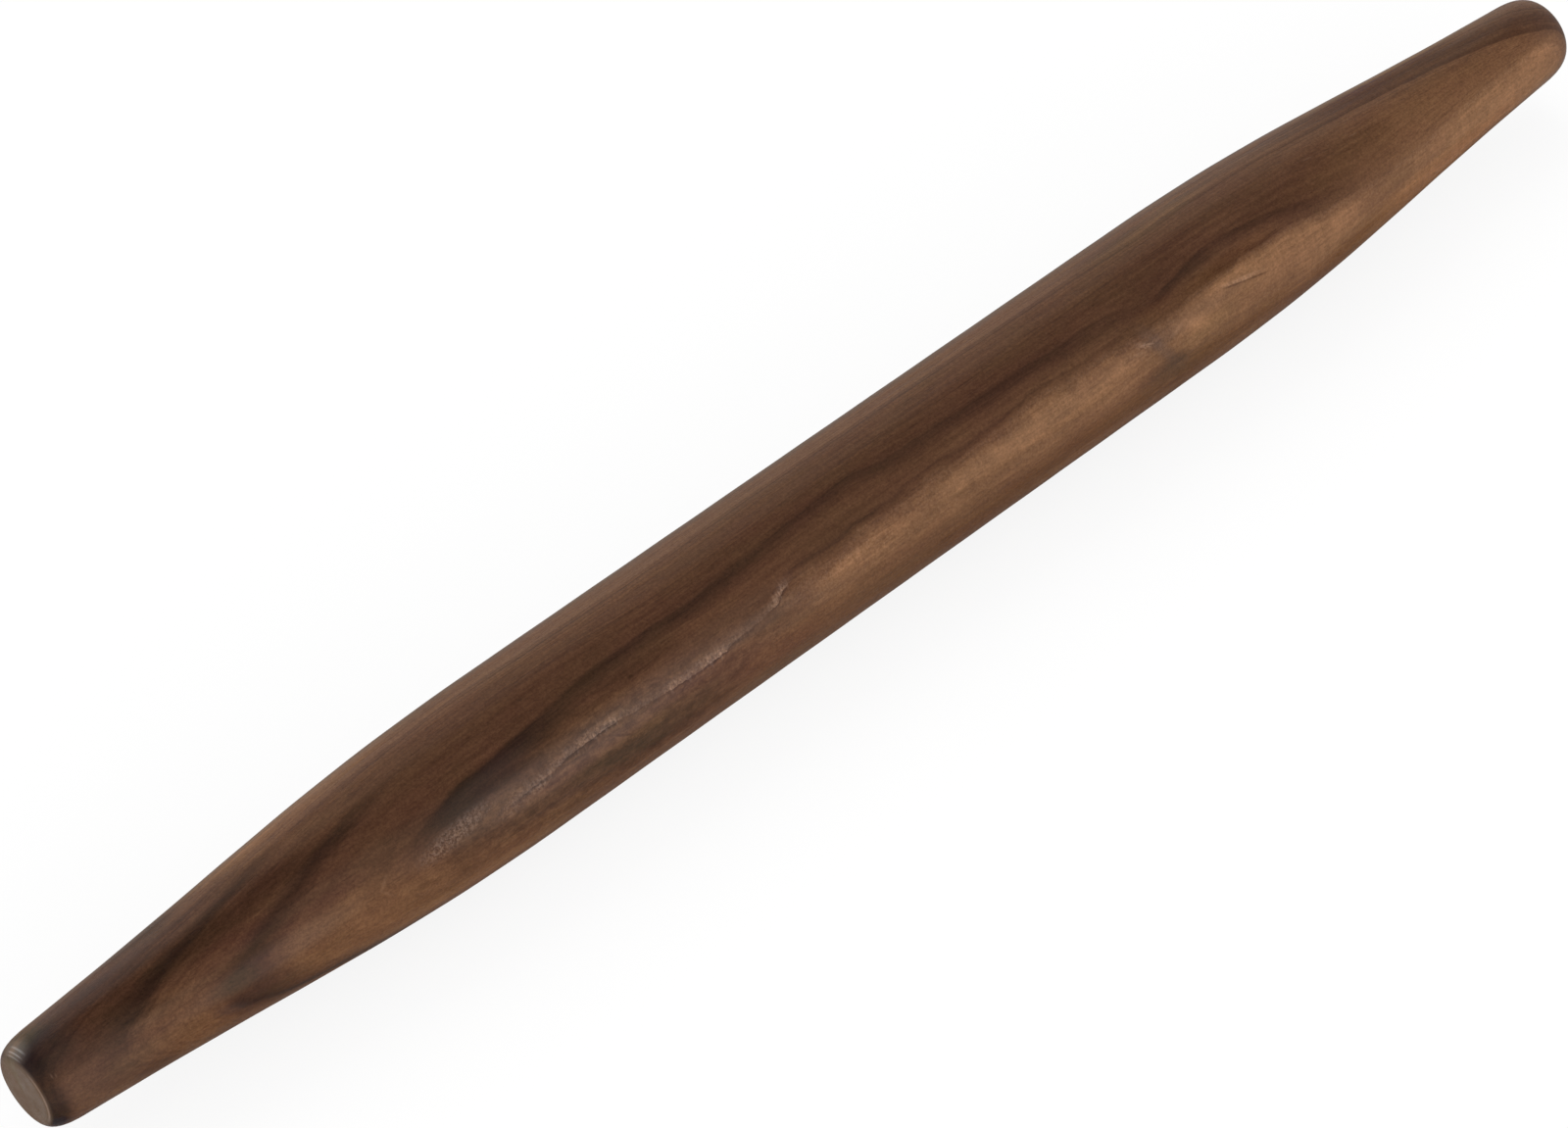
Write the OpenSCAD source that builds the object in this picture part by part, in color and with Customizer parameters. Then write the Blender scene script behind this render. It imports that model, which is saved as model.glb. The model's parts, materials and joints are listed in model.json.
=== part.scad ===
// Tapered rolling pin, turned in one piece from a solid walnut blank.
// It lies along X with its middle at the origin, and Z points up.
// The axis of the lathe is the X axis, so every section across it is a circle.

/* [Pin] */
// Length of the whole pin, from one end face to the other
overall_len = 500; // [450:1:560]

/* [Barrel] */
// Diameter of the straight middle, which rolls the dough
barrel_d = 41.5; // [36:0.5:50]
// Length of the straight middle
barrel_len = 210; // [150:1:260]

/* [Tapers] */
// Diameter at the narrow end of each taper, where the rounding begins
end_d = 23.4; // [20:0.1:34]
// Slope of the taper's side at its narrow end, in degrees
grip_slope = 3.8; // [0:0.1:6]
// Share of the taper over which the barrel's straight side eases away
shoulder_share = 0.41; // [0.1:0.01:0.7]
// Share of the taper over which its side settles into the slope of the narrow end
grip_share = 0.454; // [0.1:0.01:0.7]

/* [Ends] */
// Length of the rounding at each end
round_len = 8.5; // [3:0.5:14]
// Diameter of the flat face that the rounding leaves at each end
face_d = 15; // [6:0.5:18]
// Share of the rounding's length over which the taper's side runs on
round_side_share = 0.8; // [0.3:0.05:1]
// Share of the rounding's depth over which the flat face runs on
round_face_share = 0.45; // [0.2:0.05:1]

/* [Hidden] */

// Straight pieces that stand for the curve of one taper
taper_steps = 28;
// Straight pieces that stand for the curve of one rounding
round_steps = 12;
// Pieces round the pin
turn_steps = 120;

walnut = [0.35, 0.24, 0.18];

barrel_r = barrel_d / 2;
end_r = end_d / 2;
face_r = face_d / 2;
barrel_end = barrel_len / 2;
face_end = overall_len / 2;
taper_end = face_end - round_len;
taper_len = taper_end - barrel_end;

// A smooth curve from a to d that leaves towards b and arrives from c
function curve(a, b, c, d, t) =
    a * pow(1 - t, 3) + b * 3 * t * pow(1 - t, 2) + c * 3 * pow(t, 2) * (1 - t) + d * pow(t, 3);

// A point on the line of the narrow end's slope, this far before or after the taper's end
function on_slope(along) = [taper_end + along, end_r - along * tan(grip_slope)];

// The outlines below hold points as [place along the pin, radius there]
taper_side = [
    for (i = [0 : taper_steps])
        curve(
            [barrel_end, barrel_r],
            [barrel_end + taper_len * shoulder_share, barrel_r],
            on_slope(-taper_len * grip_share),
            on_slope(0),
            i / taper_steps
        )
];

round_side = [
    for (i = [1 : round_steps])
        curve(
            on_slope(0),
            on_slope(round_len * round_side_share),
            [face_end, face_r + (end_r - face_r) * round_face_share],
            [face_end, face_r],
            i / round_steps
        )
];

half_outline = concat(taper_side, round_side, [[face_end, 0]]);

// The whole pin's outline, up one half and back down the other, turned to [radius, place]
function pin_outline() =
    concat(
        [for (p = half_outline) [p.y, p.x]],
        [for (i = [len(half_outline) - 1 : -1 : 0]) [half_outline[i].y, -half_outline[i].x]]
    );

module turned_pin() {
    color(walnut)
        rotate([0, 90, 0])
            rotate_extrude($fn = turn_steps)
                polygon(pin_outline());
}

turned_pin();
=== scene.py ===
# A tapered rolling pin of dark walnut, turned in one piece.
# It lies along X, and the reader looks down on it from the front and its left end.
import json
import math

import bmesh
import bpy
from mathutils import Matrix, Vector


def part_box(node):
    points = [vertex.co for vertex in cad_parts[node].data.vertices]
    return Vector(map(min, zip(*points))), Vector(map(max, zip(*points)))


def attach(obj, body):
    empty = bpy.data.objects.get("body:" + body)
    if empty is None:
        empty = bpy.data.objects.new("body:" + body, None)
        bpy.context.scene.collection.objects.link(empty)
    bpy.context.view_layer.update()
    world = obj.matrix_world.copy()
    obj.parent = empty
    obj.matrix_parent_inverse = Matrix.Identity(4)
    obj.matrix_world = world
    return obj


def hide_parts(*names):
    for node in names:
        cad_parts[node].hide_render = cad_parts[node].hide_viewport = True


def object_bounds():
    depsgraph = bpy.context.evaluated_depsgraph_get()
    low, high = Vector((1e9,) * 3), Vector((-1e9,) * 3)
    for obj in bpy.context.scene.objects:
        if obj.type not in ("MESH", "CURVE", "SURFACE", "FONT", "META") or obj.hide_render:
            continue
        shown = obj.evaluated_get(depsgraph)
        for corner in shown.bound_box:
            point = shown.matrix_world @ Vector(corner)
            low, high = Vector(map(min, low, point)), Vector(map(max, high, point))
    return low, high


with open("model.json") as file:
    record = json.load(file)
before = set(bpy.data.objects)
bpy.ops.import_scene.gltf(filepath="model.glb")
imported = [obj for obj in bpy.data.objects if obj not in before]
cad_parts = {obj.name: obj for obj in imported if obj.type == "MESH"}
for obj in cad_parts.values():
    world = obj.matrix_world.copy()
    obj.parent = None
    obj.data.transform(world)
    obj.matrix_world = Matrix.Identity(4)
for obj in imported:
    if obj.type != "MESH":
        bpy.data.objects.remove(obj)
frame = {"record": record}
cad_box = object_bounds()

# The camera
# It stands to the left of the pin and in front of it, looking down at 48 degrees,
# with a long lens, as a shop photograph is taken.
PICTURE_WIDTH = 1600
FOCAL_PIXELS = 5536.7
SENSOR_WIDTH = 36.0
CAMERA_PLACE = Vector((-0.61688, -0.63045, 0.95651))
CAMERA_TURN = math.radians(43.352)
CAMERA_FALL = math.radians(47.842)

camera_data = bpy.data.cameras.new("camera")
camera_data.sensor_width = SENSOR_WIDTH
camera_data.lens = FOCAL_PIXELS / PICTURE_WIDTH * SENSOR_WIDTH
camera = bpy.data.objects.new("camera", camera_data)
look = Vector(
    (
        math.sin(CAMERA_TURN) * math.cos(CAMERA_FALL),
        math.cos(CAMERA_TURN) * math.cos(CAMERA_FALL),
        -math.sin(CAMERA_FALL),
    )
)
camera.location = CAMERA_PLACE
camera.rotation_mode = "QUATERNION"
camera.rotation_quaternion = look.to_track_quat("-Z", "Y")
bpy.context.scene.collection.objects.link(camera)
bpy.context.scene.camera = camera
bpy.context.scene.view_settings.view_transform = "Standard"

# The studio
# A pale table under an even sky, with one broad soft box in front and one behind.
# The table and the walls are white where the camera and the pin's gloss see them.
FLOOR_SIDE = 8.0
FLOOR_COLOUR = (0.80, 0.80, 0.80, 1.0)
WHITE = (1.0, 1.0, 1.0, 1.0)
SHADE = (0.15, 0.15, 0.15, 1.0)
GLOW = 0.858
SKY_LIGHT = 0.77
WALLS = 1.45
CEILING = 0.0
WALL_TOP = 0.35
CEILING_FROM = 0.80


def put(tree, kind, inputs=None, **settings):
    """A new node of this kind, with its settings, and its inputs set or linked."""
    made = tree.nodes.new(kind)
    for name, value in settings.items():
        setattr(made, name, value)
    for name, value in (inputs or {}).items():
        if isinstance(value, bpy.types.NodeSocket):
            tree.links.new(value, made.inputs[name])
        else:
            made.inputs[name].default_value = value
    return made


def reckon(tree, operation, *values):
    """The output of a Math node on these values or sockets."""
    return put(tree, "ShaderNodeMath", dict(enumerate(values)), operation=operation).outputs[0]


def blend(tree, share, first, second):
    """The first number where the share is 0, and the second where it is 1."""
    return put(tree, "ShaderNodeMix", {0: share, 2: first, 3: second}).outputs[0]


def tint(tree, share, first, second):
    """The same for two colours, whose sockets on the node are numbered apart."""
    sockets = {0: share, 6: first, 7: second}
    return put(tree, "ShaderNodeMix", sockets, data_type="RGBA").outputs[2]


def rays(tree):
    """Whether a ray comes straight from the camera, and whether a gloss or a glass sent it."""
    path = put(tree, "ShaderNodeLightPath").outputs
    mirrored = reckon(tree, "MAXIMUM", path["Is Glossy Ray"], path["Is Transmission Ray"])
    return path["Is Camera Ray"], mirrored


floor_mesh = bpy.data.meshes.new("floor")
sheet = bmesh.new()
bmesh.ops.create_grid(sheet, x_segments=1, y_segments=1, size=FLOOR_SIDE / 2)
bmesh.ops.translate(sheet, verts=sheet.verts, vec=(0, 0, cad_box[0].z))
sheet.to_mesh(floor_mesh)
sheet.free()
floor = bpy.data.objects.new("floor", floor_mesh)
bpy.context.scene.collection.objects.link(floor)

pale_floor = bpy.data.materials.new("pale floor")
pale_floor.use_nodes = True
tree = pale_floor.node_tree
tree.nodes.clear()
from_camera, mirrored = rays(tree)
floor_tone = tint(tree, mirrored, FLOOR_COLOUR, WHITE)
floor_tone = tint(tree, from_camera, floor_tone, SHADE)
floor_shader = put(
    tree,
    "ShaderNodeBsdfPrincipled",
    {
        "Base Color": floor_tone,
        "Roughness": 1.0,
        "Specular IOR Level": 0.0,
        "Emission Color": WHITE,
        "Emission Strength": reckon(tree, "MULTIPLY", from_camera, GLOW),
    },
)
put(tree, "ShaderNodeOutputMaterial", {"Surface": floor_shader.outputs[0]})
floor_mesh.materials.append(pale_floor)

studio = bpy.data.worlds.new("studio")
bpy.context.scene.world = studio
studio.use_nodes = True
tree = studio.node_tree
tree.nodes.clear()
from_camera, mirrored = rays(tree)
toward = put(tree, "ShaderNodeTexCoord").outputs["Generated"]
walls = put(
    tree,
    "ShaderNodeMapRange",
    {
        "Value": put(tree, "ShaderNodeSeparateXYZ", {0: toward}).outputs["Z"],
        "From Min": WALL_TOP,
        "From Max": CEILING_FROM,
        "To Min": WALLS,
        "To Max": CEILING,
    },
    interpolation_type="SMOOTHSTEP",
)
strength = blend(tree, mirrored, SKY_LIGHT, walls.outputs[0])
strength = blend(tree, from_camera, strength, 1.0)
sky = put(tree, "ShaderNodeBackground", {"Color": WHITE, "Strength": strength})
put(tree, "ShaderNodeOutputWorld", {"Surface": sky.outputs[0]})

# Each soft box faces the pin: its name, place, width, length and power in watts
SOFT_BOXES = [
    ("front soft box", (-0.5, -2.2, 0.8), 1.6, 1.2, 17.2),
    ("back soft box", (0.4, 1.6, 2.2), 1.6, 1.6, 17.2),
]
for name, place, width, length, power in SOFT_BOXES:
    soft_box = bpy.data.lights.new(name, "AREA")
    soft_box.shape = "RECTANGLE"
    soft_box.size = width
    soft_box.size_y = length
    soft_box.energy = power
    lamp = bpy.data.objects.new(name, soft_box)
    lamp.location = place
    lamp.rotation_mode = "QUATERNION"
    lamp.rotation_quaternion = (-Vector(place)).to_track_quat("-Z", "Y")
    lamp.visible_glossy = False
    bpy.context.scene.collection.objects.link(lamp)

# The turned pin
# One blank of walnut is turned between centres, with the middle left straight and both
# ends cut down to a slim taper. The ends are rounded over and faced off flat.
barrel = next(m for m in frame["record"]["mounts"] if m["name"] == "barrel")
MM = 0.001
BARREL_RADIUS = barrel["dims"]["r_mm"] * MM
BARREL_END = barrel["dims"]["length_mm"] / 2 * MM
FACE_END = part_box("turned_pin")[1].x
ROUND_LENGTH = 8.5 * MM
END_RADIUS = 11.7 * MM
FACE_RADIUS = 7.5 * MM
GRIP_SLOPE = math.tan(math.radians(3.8))
SHOULDER_SHARE = 0.41
GRIP_SHARE = 0.454
ROUND_SIDE_SHARE = 0.8
ROUND_FACE_SHARE = 0.45
BARREL_STEPS = 60
TAPER_STEPS = 80
ROUND_STEPS = 96
FACE_STEPS = 10
TURN_STEPS = 144
# Marks that the gouge and the sandpaper leave, all cut inwards from the true shape
CHATTER_DEPTH = 0.015 * MM
CHATTER_PITCH = 0.45 * MM
SANDING_DEPTH = 0.03 * MM
SANDING_PITCH = 23.0 * MM


def curve(a, b, c, d, t):
    """A point on the smooth curve from a to d that leaves towards b and arrives from c."""
    return a * (1 - t) ** 3 + b * 3 * t * (1 - t) ** 2 + c * 3 * t**2 * (1 - t) + d * t**3


def on_slope(along):
    """The narrow end's straight side, this far before or after the rounding begins."""
    return Vector((FACE_END - ROUND_LENGTH + along, END_RADIUS - along * GRIP_SLOPE))


taper_length = FACE_END - ROUND_LENGTH - BARREL_END
taper = [
    Vector((BARREL_END, BARREL_RADIUS)),
    Vector((BARREL_END + taper_length * SHOULDER_SHARE, BARREL_RADIUS)),
    on_slope(-taper_length * GRIP_SHARE),
    on_slope(0),
]
rounding = [
    on_slope(0),
    on_slope(ROUND_LENGTH * ROUND_SIDE_SHARE),
    Vector((FACE_END, FACE_RADIUS + (END_RADIUS - FACE_RADIUS) * ROUND_FACE_SHARE)),
    Vector((FACE_END, FACE_RADIUS)),
]
half = [Vector((BARREL_END * i / BARREL_STEPS, BARREL_RADIUS)) for i in range(1, BARREL_STEPS)]
half += [curve(*taper, i / TAPER_STEPS) for i in range(TAPER_STEPS)]
half += [curve(*rounding, i / ROUND_STEPS) for i in range(ROUND_STEPS + 1)]
half += [Vector((FACE_END, FACE_RADIUS * (1 - i / FACE_STEPS))) for i in range(1, FACE_STEPS + 1)]
outline = [Vector((-p.x, p.y)) for p in reversed(half)]
outline.append(Vector((0, BARREL_RADIUS)))
outline += half


def tool_mark(depth, pitch, travelled):
    """How deep a row of marks is cut at this place, from nothing to its full depth."""
    return depth * (0.5 - 0.5 * math.cos(math.tau * travelled / pitch))


pin_mesh = bpy.data.meshes.new("pin")
pin_shape = bmesh.new()
last = None
for place in outline:
    cut = tool_mark(SANDING_DEPTH, SANDING_PITCH, place.x)
    if place.y < END_RADIUS:
        cut += tool_mark(CHATTER_DEPTH, CHATTER_PITCH, place.y)
    point = pin_shape.verts.new((place.x, 0, max(0.0, place.y - cut)))
    if last is not None:
        pin_shape.edges.new((last, point))
    last = point
bmesh.ops.spin(
    pin_shape,
    geom=pin_shape.verts[:] + pin_shape.edges[:],
    cent=(0, 0, 0),
    axis=(1, 0, 0),
    angle=math.tau,
    steps=TURN_STEPS,
    use_merge=True,
)
bmesh.ops.remove_doubles(pin_shape, verts=pin_shape.verts, dist=1e-6)
bmesh.ops.recalc_face_normals(pin_shape, faces=pin_shape.faces)
for face in pin_shape.faces:
    face.smooth = True
pin_shape.to_mesh(pin_mesh)
pin_shape.free()
pin = bpy.data.objects.new("walnut_pin", pin_mesh)
bpy.context.scene.collection.objects.link(pin)
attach(pin, "root")
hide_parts("turned_pin")

# The wood's growth layers lie almost flat across the pin, and they come nearest to its
# side at the crest, a little above the front. Places along the pin are in mm from its
# middle, and turns are in degrees round it, from the top towards the front.
CREST = 61.0
RING_BEND = 140.0
LOWEST_LAYER = -25.0
HIGHEST_LAYER = 45.0
# How steeply a line runs on past the places that are known
DIP = 0.15
# How steeply the layers rise from one side of the pin to the other, at places along it
LAYER_LEAN = [(-230, 0.0), (-200, 0.14), (-170, 0.04), (-120, -0.02), (80, -0.02)]
LAYER_LEAN += [(120, 0.04), (150, 0.14), (165, 0.20), (200, 0.25), (240, 0.20)]

# Where each dark growth line comes out on the side, as places along and turns round
BACK_LINE = [(-230, -48), (-180, -48), (-120, -44), (-60, -41), (0, -40), (60, -40), (100, -36)]
BACK_LINE += [(140, -31), (180, -28), (200, -29), (220, -26), (232, -19), (240, -10), (246, 5)]
TOP_LINE = [(-230, 52), (-228, 42), (-222, 29), (-215, 18), (-205, 8), (-195, 0), (-180, -8)]
TOP_LINE += [(-160, -15), (-140, -20), (-110, -21), (-60, -18), (-20, -20), (20, -19), (60, -17)]
TOP_LINE += [(80, -16), (100, -13), (120, -14), (150, -12), (170, -8), (190, -4), (205, 0)]
TOP_LINE += [(215, 5), (225, 11), (233, 19), (240, 30), (246, 44)]
SECOND_LINE = [(-202, 66), (-197, 50), (-192, 40), (-183, 28), (-173, 18), (-160, 8), (-150, 3)]
SECOND_LINE += [(-140, 0), (-120, -3), (-100, -4), (-60, 4), (-20, 0), (0, 0), (20, 3), (60, 4)]
SECOND_LINE += [(100, 4), (120, 6), (150, 10), (165, 13), (180, 16), (200, 18), (215, 22)]
SECOND_LINE += [(228, 28), (240, 38)]
DARK_LINE = [(-150, 52), (-146, 43), (-140, 38), (-130, 33), (-120, 30), (-110, 28), (-100, 25)]
DARK_LINE += [(-90, 22), (-60, 21), (-40, 18), (-20, 14), (-8, 13), (5, 17), (20, 19), (50, 21)]
DARK_LINE += [(68, 22), (78, 25), (84, 29), (88, 32), (92, 32), (97, 29), (104, 26), (115, 24)]
DARK_LINE += [(122, 25), (132, 29), (142, 35), (152, 42), (162, 48), (172, 46), (185, 42)]
DARK_LINE += [(200, 34), (215, 32), (228, 36), (240, 42)]
PALE_LINE = [(-118, 61), (-105, 57), (-95, 56), (-85, 58), (-75, 60), (-60, 60), (-52, 58)]
PALE_LINE += [(-44, 56), (-40, 53), (-37, 48), (-30, 44), (-20, 43), (0, 42.5), (15, 41)]
PALE_LINE += [(30, 40), (45, 39.5), (58, 40), (67, 40), (74, 40), (80, 41), (86, 44), (90, 45)]
PALE_LINE += [(94, 44), (103, 41), (112, 40), (125, 40.5), (140, 43), (155, 50), (165, 53)]
PALE_LINE += [(185, 53), (200, 50), (215, 46), (228, 44), (240, 47)]


def between(points, x):
    """The height at x of the straight lines through these points."""
    if x <= points[0][0]:
        return points[0][1]
    for (x0, y0), (x1, y1) in zip(points, points[1:]):
        if x <= x1:
            return y0 + (y1 - y0) * (x - x0) / (x1 - x0)
    return points[-1][1]


side = [(p.x / MM, p.y / MM) for p in outline]


def depth_of(place, turn):
    """Which layer comes out at this point of the side, by its height at the crest in mm."""
    radius = between(side, place)
    off_crest = math.radians(turn - CREST)
    across = radius * math.sin(off_crest)
    up = radius * math.cos(off_crest)
    return up + across * between(LAYER_LEAN, place) + across**2 / RING_BEND


def layer_heights(line):
    """The line as places along and layer heights, which run on past both of its ends."""
    heights = [(place, depth_of(place, turn)) for place, turn in line]
    end = FACE_END / MM
    first, last = heights[0], heights[-1]
    heights.insert(0, (-end, first[1] + (first[0] + end) * DIP))
    heights.append((end, last[1] + (end - last[0]) * DIP))
    return heights


def follow(tree, value, points, low=0.0, high=1.0, straight=False):
    """A curve node through these points, whose heights lie between low and high."""
    start = points[0][0]
    reach = points[-1][0] - start
    share = reckon(tree, "DIVIDE", reckon(tree, "SUBTRACT", value, start), reach)
    made = put(tree, "ShaderNodeFloatCurve", {"Value": share})
    made.mapping.extend = "HORIZONTAL"
    line = made.mapping.curves[0]
    while len(line.points) < len(points):
        line.points.new(0.5, 0.5)
    for spot, (x, y) in zip(line.points, points):
        spot.location = ((x - start) / reach, (y - low) / (high - low))
        spot.handle_type = "VECTOR" if straight else "AUTO_CLAMPED"
    made.mapping.update()
    return reckon(tree, "MULTIPLY_ADD", made.outputs[0], high - low, low)


def ease(tree, value, from_low, from_high, to_low=0.0, to_high=1.0):
    """The value carried smoothly from one range to another, and held at its ends."""
    ranges = {"Value": value, "From Min": from_low, "From Max": from_high}
    ranges.update({"To Min": to_low, "To Max": to_high})
    made = put(tree, "ShaderNodeMapRange", ranges, interpolation_type="SMOOTHSTEP", clamp=False)
    return made.outputs[0]


def product(tree, *values):
    """All these values multiplied together, from the first to the last."""
    total = values[0]
    for value in values[1:]:
        total = reckon(tree, "MULTIPLY", total, value)
    return total


def start_group(name, inputs, outputs):
    """A new node group with these numbers as its inputs, and its input sockets by name."""
    group = bpy.data.node_groups.new(name, "ShaderNodeTree")
    for label, value in inputs.items():
        socket = group.interface.new_socket(label, in_out="INPUT", socket_type="NodeSocketFloat")
        socket.default_value = value
    for label in outputs:
        group.interface.new_socket(label, in_out="OUTPUT", socket_type="NodeSocketFloat")
    return group, group.nodes.new("NodeGroupInput").outputs


def place_group(tree, group, inputs):
    """The outputs of this node group placed in the tree with these inputs."""
    made = tree.nodes.new("ShaderNodeGroup")
    made.node_tree = group
    for name, value in inputs.items():
        if isinstance(value, bpy.types.NodeSocket):
            tree.links.new(value, made.inputs[name])
        else:
            made.inputs[name].default_value = value
    return made.outputs


# Dark heartwood along a growth line: it fades out below and above the line and at both ends
SIDE_FADE = 8.0
STREAK_GREY = 0.006
streak, given = start_group(
    "streak along a growth line",
    {
        "Brown": 0.03,
        "Grey": 0.0,
        "Height": 0.0,
        "Line": 0.0,
        "Along": 0.0,
        "Start": -250.0,
        "End": 250.0,
        "Fade": 20.0,
        "Below": 1.0,
        "Above": 1.0,
        "Strength": 0.5,
        "Turn": 0.0,
        "Last turn": 200.0,
    },
    ("Brown", "Grey"),
)
off_line = reckon(streak, "SUBTRACT", given["Height"], given["Line"])
under = ease(streak, off_line, product(streak, given["Below"], -1.0), 0.0)
over = ease(streak, off_line, given["Above"], 0.0)
starting = ease(
    streak,
    given["Along"],
    reckon(streak, "SUBTRACT", given["Start"], given["Fade"]),
    reckon(streak, "ADD", given["Start"], given["Fade"]),
)
ending = ease(
    streak,
    given["Along"],
    reckon(streak, "ADD", given["End"], given["Fade"]),
    reckon(streak, "SUBTRACT", given["End"], given["Fade"]),
)
upper = ease(
    streak,
    reckon(streak, "SUBTRACT", given["Turn"], given["Last turn"]),
    SIDE_FADE,
    -SIDE_FADE,
)
near_line = product(streak, under, over, given["Strength"], upper)
mask = product(streak, near_line, product(streak, starting, ending))
kept = product(streak, given["Brown"], reckon(streak, "SUBTRACT", 1.0, mask))
greyed = reckon(streak, "MULTIPLY_ADD", mask, STREAK_GREY, given["Grey"])
put(streak, "NodeGroupOutput", {"Brown": kept, "Grey": greyed})

# A soft oval stain, which may lean across the pin
OVAL = {"Along": 0.0, "Turn": 0.0, "Centre along": 0.0, "Centre turn": 0.0}
OVAL.update({"Half length": 20.0, "Half width": 10.0, "Lean": 0.0, "Core": 0.2})
stain, given = start_group("soft stain", OVAL, ("Mask",))
off_along = reckon(stain, "SUBTRACT", given["Along"], given["Centre along"])
off_turn = reckon(stain, "SUBTRACT", given["Turn"], given["Centre turn"])
off_turn = reckon(stain, "SUBTRACT", off_turn, product(stain, off_along, given["Lean"]))
share_along = reckon(stain, "DIVIDE", off_along, given["Half length"])
share_turn = reckon(stain, "DIVIDE", off_turn, given["Half width"])
square_along = product(stain, share_along, share_along)
square_turn = product(stain, share_turn, share_turn)
off_centre = reckon(stain, "SQRT", reckon(stain, "ADD", square_along, square_turn))
put(stain, "NodeGroupOutput", {"Mask": ease(stain, off_centre, 1.0, given["Core"])})

# Wood under such a stain, which keeps a share of its brown and takes up some grey
soaked, given = start_group(
    "wood under a soft stain",
    {**OVAL, "Brown": 0.03, "Grey": 0.0, "Kept": 1.0, "Added": 0.0},
    ("Brown", "Grey"),
)
mask = place_group(soaked, stain, {name: given[name] for name in OVAL})["Mask"]
change = reckon(soaked, "SUBTRACT", given["Kept"], 1.0)
kept = product(soaked, given["Brown"], reckon(soaked, "MULTIPLY_ADD", mask, change, 1.0))
greyed = reckon(soaked, "MULTIPLY_ADD", mask, given["Added"], given["Grey"])
put(soaked, "NodeGroupOutput", {"Brown": kept, "Grey": greyed})

walnut = bpy.data.materials.new("oiled walnut")
walnut.use_nodes = True
tree = walnut.node_tree
tree.nodes.clear()

# Places in the wood: along the pin, up towards the crest and across it, all in mm
object_place = put(tree, "ShaderNodeTexCoord").outputs["Object"]
laid = put(
    tree,
    "ShaderNodeMapping",
    {
        "Vector": object_place,
        "Rotation": (-math.radians(CREST), 0, 0),
        "Scale": (1 / MM, 1 / MM, 1 / MM),
    },
).outputs[0]
split = put(tree, "ShaderNodeSeparateXYZ", {0: laid}).outputs
along = split["X"]
up = split["Z"]
across = product(tree, split["Y"], -1.0)
turn = reckon(tree, "DEGREES", reckon(tree, "ARCTAN2", across, up))
turn = reckon(tree, "ADD", turn, CREST)


def grain(waves, detail, roughness, distortion=0.0):
    """A noise with this many waves to the mm along the pin, across it and up."""
    place = put(tree, "ShaderNodeMapping", {"Vector": laid, "Scale": waves}).outputs[0]
    settings = {"Vector": place, "Scale": 1.0, "Detail": detail}
    settings.update({"Roughness": roughness, "Distortion": distortion})
    return put(tree, "ShaderNodeTexNoise", settings).outputs["Fac"]


def bands(value, scale, roughness):
    """A noise that changes only as this value does, like rings of uneven width."""
    settings = {"W": value, "Scale": scale, "Detail": 3.0, "Roughness": roughness}
    return put(tree, "ShaderNodeTexNoise", settings, noise_dimensions="1D").outputs["Fac"]


def spread(noise, low, high):
    """The range that most of a noise lies in, carried to this one."""
    return ease(tree, noise, 0.3, 0.7, low, high)


def wander(noise, reach):
    """A noise carried to a length, in mm, up to this far either way."""
    return ease(tree, noise, 0.2, 0.8, -reach, reach)


def times(value, mask, share):
    """The value changed by this share of itself where the mask is full."""
    return product(tree, value, reckon(tree, "MULTIPLY_ADD", mask, share, 1.0))


def plus(value, mask, amount):
    """The value changed by this amount where the mask is full."""
    return reckon(tree, "MULTIPLY_ADD", mask, amount, value)


# The layer that each point lies in: a whole number on each growth line, less further in
lean = follow(tree, along, LAYER_LEAN, straight=True)
bend = reckon(tree, "DIVIDE", product(tree, across, across), RING_BEND)
height = reckon(tree, "ADD", plus(up, across, lean), bend)
LAYER_GRAIN = ((0.07, 0.2, 0.2), 3.0, 0.5)
LAYER_WANDER = 0.22
height = reckon(tree, "ADD", height, wander(grain(*LAYER_GRAIN), LAYER_WANDER))
lines = [
    follow(tree, along, layer_heights(line), LOWEST_LAYER, HIGHEST_LAYER)
    for line in (BACK_LINE, TOP_LINE, SECOND_LINE, DARK_LINE, PALE_LINE)
]
back_line, top_line, second_line, dark_line, pale_line = lines
# The layers behind the first line and before the last are this many mm apart
INNER_GAP = 5.0
OUTER_GAP = 3.0
layer = reckon(tree, "DIVIDE", reckon(tree, "SUBTRACT", height, back_line), INNER_GAP)
layer = reckon(tree, "MINIMUM", layer, 0.0)
for low_line, high_line in zip(lines, lines[1:]):
    gap = reckon(tree, "SUBTRACT", high_line, low_line)
    risen = reckon(tree, "DIVIDE", reckon(tree, "SUBTRACT", height, low_line), gap)
    risen = reckon(tree, "MINIMUM", reckon(tree, "MAXIMUM", risen, 0.0), 1.0)
    layer = reckon(tree, "ADD", layer, risen)
beyond = reckon(tree, "DIVIDE", reckon(tree, "SUBTRACT", height, pale_line), OUTER_GAP)
layer = reckon(tree, "ADD", layer, reckon(tree, "MAXIMUM", beyond, 0.0))

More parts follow.
